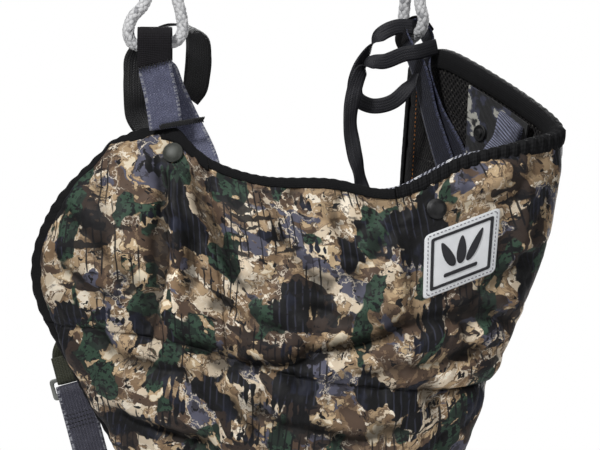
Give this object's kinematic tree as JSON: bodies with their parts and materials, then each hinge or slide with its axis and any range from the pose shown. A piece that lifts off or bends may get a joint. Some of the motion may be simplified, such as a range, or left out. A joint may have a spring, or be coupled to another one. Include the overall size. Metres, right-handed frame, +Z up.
{
  "type": "hanging sling seat",
  "caption": "Camouflage sling seat for tree work or hunting: padded U-shaped hip panel on a rope bridge, with waist belt, leg straps, snaps and webbing loops.",
  "frame": {"origin": "on the underside of the rope bight, where the carabiner that carries the seat bears", "axes": "+Z up and the longest side; +Y towards the open front of the U, so the outer face of the back panel looks towards -Y; +X to the wearer's right"},
  "size_m": [0.3787, 0.2664, 0.7594],
  "materials": {
    "camo_fabric": "printed polyester, camouflage of tan, cream, brown, navy, green and slate",
    "air_mesh": "black padded air mesh",
    "binding_tape": "matte black folded binding tape",
    "slate_webbing": "slate blue woven webbing",
    "black_webbing": "black woven webbing",
    "jacquard_webbing": "ribbed webbing woven in navy, slate and off-white",
    "olive_webbing": "olive green webbing",
    "bridge_rope": "hollow braid rope, white with grey flecks",
    "snap_metal": "grey-green lacquered snap cap",
    "black_snap": "black lacquered snap",
    "sleeve_fabric": "black tubular wear sleeve",
    "dark_alloy": "dark anodised",
    "label_rubber": "soft light grey moulded rubber",
    "label_dark": "charcoal raised frame",
    "buckle_plastic": "moulded acetal"
  },
  "bodies": {
    "bridge": {"bridge_rope": "bridge_rope"},
    "seat": {"back_panel_shell": "camo_fabric", "back_rim_binding": "binding_tape", "back_snap_cap": "black_snap", "back_snap_socket": "black_snap", "belt_buckle_socket": "buckle_plastic", "belt_left_strap": "black_webbing", "belt_right_strap": "black_webbing", "elastic_rim_binding": "binding_tape", "hem_binding": "binding_tape", "inner_rim_webbing": "jacquard_webbing", "inner_web_snap": "black_snap", "label_patch": "label_rubber", "label_plate": "label_dark", "left_bridge_loop": "slate_webbing", "left_gear_loop": "black_webbing", "left_hem_loop": "black_webbing", "left_leg_tab": "olive_webbing", "left_snap_cap": "snap_metal", "left_snap_socket": "black_snap", "left_wear_sleeve": "sleeve_fabric", "left_wing_binding": "binding_tape", "left_wing_shell": "camo_fabric", "lower_load_band": "slate_webbing", "lower_sling_shell": "camo_fabric", "mesh_lining": "air_mesh", "right_bridge_loop": "slate_webbing", "right_hem_loop": "black_webbing", "right_inner_camo_web": "jacquard_webbing", "right_inner_ribbed_web": "slate_webbing", "right_leg_tab": "olive_webbing", "right_snap_cap": "snap_metal", "right_snap_socket": "black_snap", "right_wear_sleeve": "sleeve_fabric", "right_wing_binding": "binding_tape", "right_wing_shell": "camo_fabric", "upper_load_band": "slate_webbing"},
    "left_leg": {"left_leg_ring": "dark_alloy", "left_leg_strap": "slate_webbing", "left_leg_hook": "dark_alloy"},
    "left_leg_adjuster": {"left_leg_slider": "buckle_plastic"},
    "right_leg": {"right_leg_ring": "dark_alloy", "right_leg_strap": "slate_webbing", "right_leg_hook": "dark_alloy"},
    "right_leg_adjuster": {"right_leg_slider": "buckle_plastic"},
    "belt_plug": {"belt_buckle_plug": "buckle_plastic"},
    "belt_prong_up": {"belt_prong_upper": "buckle_plastic"},
    "belt_prong_low": {"belt_prong_lower": "buckle_plastic"},
    "belt_adjuster": {"belt_slider": "buckle_plastic"},
    "loop_strap": {"right_accessory_loop": "black_webbing"},
    "tail_strap": {"right_accessory_tail": "black_webbing"}
  },
  "joints": [
    {"name": "seat_swing", "type": "hinge", "parent": "bridge", "child": "seat", "pos_m": [-0.09554, -0.07005, -0.3661], "axis": [0.7955, 0.6046, 0.0389], "range_deg": [-5, 5]},
    {"name": "left_leg_swing", "type": "hinge", "parent": "seat", "child": "left_leg", "pos_m": [-0.15634, -0.02205, -0.6011], "axis": [0.9663, 0, 0.2576], "range_deg": [0, 45]},
    {"name": "left_leg_adjust", "type": "slide", "parent": "left_leg", "child": "left_leg_adjuster", "axis": [0.2576, 0, -0.9663], "range_m": [-0.012, 0.022]},
    {"name": "right_leg_swing", "type": "hinge", "parent": "seat", "child": "right_leg", "pos_m": [0.05166, 0.13995, -0.6011], "axis": [0, 1, 0], "range_deg": [-25, 35]},
    {"name": "right_leg_adjust", "type": "slide", "parent": "right_leg", "child": "right_leg_adjuster", "axis": [0, 0, -1], "range_m": [-0.02, 0.022]},
    {"name": "belt_plug_slide", "type": "slide", "parent": "seat", "child": "belt_plug", "axis": [0.8, 0.6, 0], "range_m": [0, 0.022]},
    {"name": "belt_prong_up_squeeze", "type": "hinge", "parent": "belt_plug", "child": "belt_prong_up", "pos_m": [-0.05274, 0.07215, -0.5116], "axis": [0.6, -0.8, 0], "range_deg": [0, 15.8]},
    {"name": "belt_prong_low_squeeze", "type": "hinge", "parent": "belt_plug", "child": "belt_prong_low", "pos_m": [-0.05274, 0.07215, -0.5346], "axis": [-0.6, 0.8, 0], "range_deg": [0, 15.8]},
    {"name": "belt_adjust", "type": "slide", "parent": "seat", "child": "belt_adjuster", "axis": [0.8, 0.6, 0], "range_m": [-0.008, 0.013]},
    {"name": "loop_strap_swing", "type": "hinge", "parent": "seat", "child": "loop_strap", "pos_m": [0.07566, 0.05795, -0.3511], "axis": [0.3808, 0, -0.9247], "range_deg": [0, 6]},
    {"name": "tail_strap_swing", "type": "hinge", "parent": "seat", "child": "tail_strap", "pos_m": [0.09166, 0.04595, -0.3691], "axis": [-1, 0, 0], "range_deg": [0, 15]}
  ],
  "couplings": [
    {"joint": "belt_prong_up_squeeze", "follows": "belt_plug_slide", "rad_per_m": 12.5},
    {"joint": "belt_prong_low_squeeze", "follows": "belt_plug_slide", "rad_per_m": 12.5}
  ]
}
